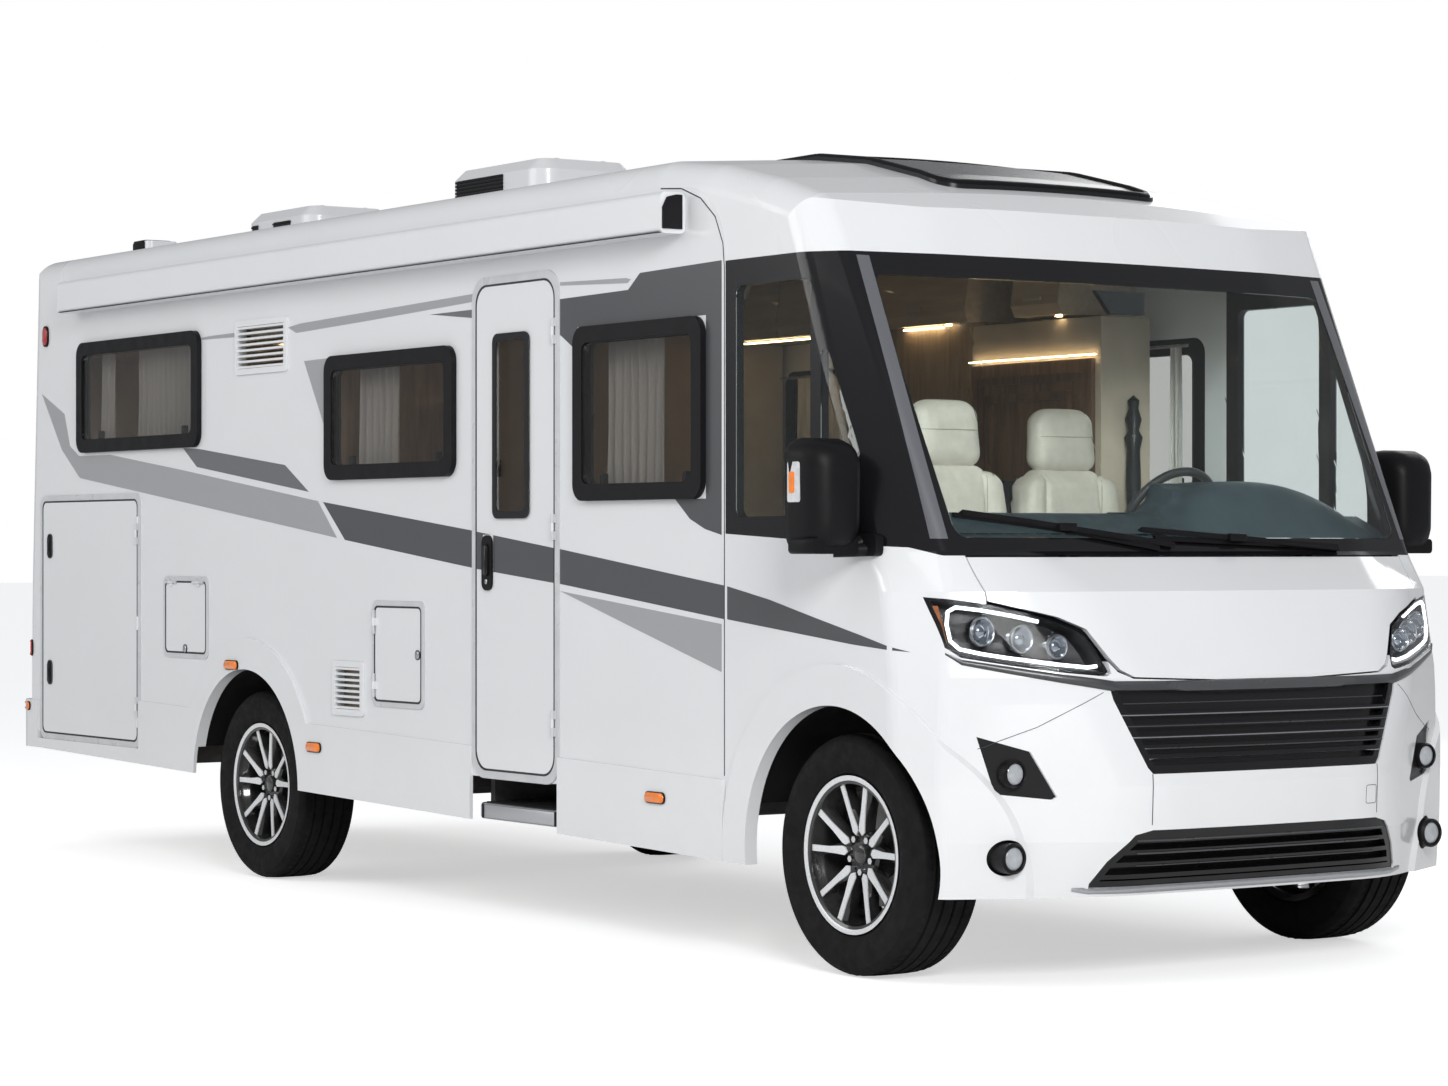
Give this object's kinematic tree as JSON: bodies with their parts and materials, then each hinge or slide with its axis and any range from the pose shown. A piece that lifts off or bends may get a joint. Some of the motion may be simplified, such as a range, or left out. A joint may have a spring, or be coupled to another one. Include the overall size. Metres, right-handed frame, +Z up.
{
  "type": "motorhome",
  "caption": "Integrated motorhome with cab and living body in one shell, side entrance door, rear garage, hatches, opening bonnet, steered front wheels and rolling road wheels.",
  "frame": {"origin": "on the ground, below the middle of the overall length and width", "axes": "+X forward, +Y to the vehicle's left, +Z up"},
  "size_m": [7.14, 2.675, 2.915],
  "materials": {
    "white_paint": "gloss white paint",
    "roof_white": "white moulded plastic",
    "cab_white": "gloss white paint",
    "black_gloss": "gloss black plastic",
    "black_plastic": "textured black plastic",
    "grey_plastic": "grey moulded plastic",
    "tinted_glass": "dark tinted glazing",
    "clear_glass": "clear laminated glass",
    "lamp_glass": "clear lamp cover",
    "lamp_black": "dark lamp housing",
    "red_lens": "red lamp lens",
    "frame_steel": "black painted steel",
    "alloy_rim": "machined alloy with black pockets",
    "tyre": "black rubber",
    "engine_grey": "cast block",
    "tank_grey": "moulded tank",
    "floor_grey": "wood-effect floor on a sandwich panel",
    "dash_grey": "soft-touch dashboard",
    "wheel_leather": "black leather",
    "seat_cream": "cream leather",
    "furniture_wood": "light wood furniture",
    "aluminium_step": "aluminium tread",
    "awning_grey": "white coated aluminium"
  },
  "bodies": {
    "body": {"side_wall_right": "white_paint", "side_wall_left": "white_paint", "rear_wall": "white_paint", "roof_panel": "roof_white", "roof_cap": "roof_white", "floor_panel": "floor_grey", "cab_fenders": "cab_white", "windscreen": "clear_glass", "cab_side_panes": "clear_glass", "cab_window_frame": "black_gloss", "front_face": "cab_white", "lamp_housings": "lamp_black", "headlamp_lenses": "lamp_glass", "front_grilles": "black_gloss", "side_skirts": "cab_white", "rear_bumper": "cab_white", "tail_lamps": "red_lens", "roof_light": "tinted_glass", "roof_units": "roof_white", "awning_cassette": "awning_grey", "mirrors": "black_gloss", "wipers": "black_plastic", "chassis_frame": "frame_steel", "front_suspension": "frame_steel", "rear_axle": "frame_steel", "engine_block": "engine_grey", "tanks": "tank_grey", "wheel_arch_liners": "black_plastic", "window_frames": "black_plastic", "window_panes": "tinted_glass", "door_frames": "grey_plastic", "wall_vents": "roof_white", "dashboard": "dash_grey", "cab_seats": "seat_cream", "seat_pedestals": "frame_steel", "cabin_furniture": "furniture_wood"},
    "bonnet": {"bonnet": "cab_white"},
    "entrance_door": {"entrance_door": "white_paint", "entrance_door_window": "tinted_glass", "entrance_door_handle": "black_plastic"},
    "garage_door_right": {"garage_door_right": "white_paint"},
    "garage_door_left": {"garage_door_left": "white_paint"},
    "service_hatch_rear": {"service_hatch_rear": "white_paint"},
    "service_hatch_front": {"service_hatch_front": "white_paint"},
    "entry_step": {"entry_step": "aluminium_step"},
    "steering_wheel": {"steering_wheel": "wheel_leather"},
    "knuckle_right": {"knuckle_right": "frame_steel"},
    "knuckle_left": {"knuckle_left": "frame_steel"},
    "wheel_front_right": {"rim_front_right": "alloy_rim", "tyre_front_right": "tyre"},
    "wheel_front_left": {"rim_front_left": "alloy_rim", "tyre_front_left": "tyre"},
    "wheel_rear_right": {"rim_rear_right": "alloy_rim", "tyre_rear_right": "tyre"},
    "wheel_rear_left": {"rim_rear_left": "alloy_rim", "tyre_rear_left": "tyre"}
  },
  "joints": [
    {"name": "entrance_door_hinge", "type": "hinge", "parent": "body", "child": "entrance_door", "pos_m": [1.1085, -1.122, 1.4], "axis": [0, 0, 1], "range_deg": [0, 95]},
    {"name": "garage_door_right_hinge", "type": "hinge", "parent": "body", "child": "garage_door_right", "pos_m": [-2.3185, -1.122, 1], "axis": [0, 0, 1], "range_deg": [0, 110]},
    {"name": "garage_door_left_hinge", "type": "hinge", "parent": "body", "child": "garage_door_left", "pos_m": [-2.3185, 1.122, 1], "axis": [0, 0, -1], "range_deg": [0, 110]},
    {"name": "service_hatch_rear_hinge", "type": "hinge", "parent": "body", "child": "service_hatch_rear", "pos_m": [-1.842, -1.122, 1.2005], "axis": [-1, 0, 0], "range_deg": [0, 90]},
    {"name": "service_hatch_front_hinge", "type": "hinge", "parent": "body", "child": "service_hatch_front", "pos_m": [-0.1935, -1.122, 0.94], "axis": [0, 0, -1], "range_deg": [0, 100]},
    {"name": "bonnet_hinge", "type": "hinge", "parent": "body", "child": "bonnet", "pos_m": [3.277, 0, 1.257], "axis": [0, -1, 0], "range_deg": [0, 60]},
    {"name": "entry_step_slide", "type": "slide", "parent": "body", "child": "entry_step", "axis": [0, -1, 0], "range_m": [0, 0.26]},
    {"name": "steer_right", "type": "hinge", "parent": "body", "child": "knuckle_right", "pos_m": [2.77, -0.76, 0.3815], "axis": [0, 0, 1], "range_deg": [-35, 35]},
    {"name": "steer_left", "type": "hinge", "parent": "body", "child": "knuckle_left", "pos_m": [2.77, 0.76, 0.3815], "axis": [0, 0, 1], "range_deg": [-35, 35]},
    {"name": "steering_wheel_turn", "type": "hinge", "parent": "body", "child": "steering_wheel", "pos_m": [2.6, 0.42, 1.44], "axis": [-0.866, 0, 0.5], "range_deg": [-525, 525]},
    {"name": "wheel_front_right_spin", "type": "hinge", "parent": "knuckle_right", "child": "wheel_front_right", "pos_m": [2.77, -0.9325, 0.3815], "axis": [0, 1, 0], "continuous": true},
    {"name": "wheel_front_left_spin", "type": "hinge", "parent": "knuckle_left", "child": "wheel_front_left", "pos_m": [2.77, 0.9325, 0.3815], "axis": [0, 1, 0], "continuous": true},
    {"name": "wheel_rear_right_spin", "type": "hinge", "parent": "body", "child": "wheel_rear_right", "pos_m": [-1.28, -0.9325, 0.3815], "axis": [0, 1, 0], "continuous": true},
    {"name": "wheel_rear_left_spin", "type": "hinge", "parent": "body", "child": "wheel_rear_left", "pos_m": [-1.28, 0.9325, 0.3815], "axis": [0, 1, 0], "continuous": true}
  ],
  "couplings": [
    {"joint": "steer_left", "follows": "steer_right", "ratio": 1},
    {"joint": "steering_wheel_turn", "follows": "steer_right", "ratio": 15}
  ]
}
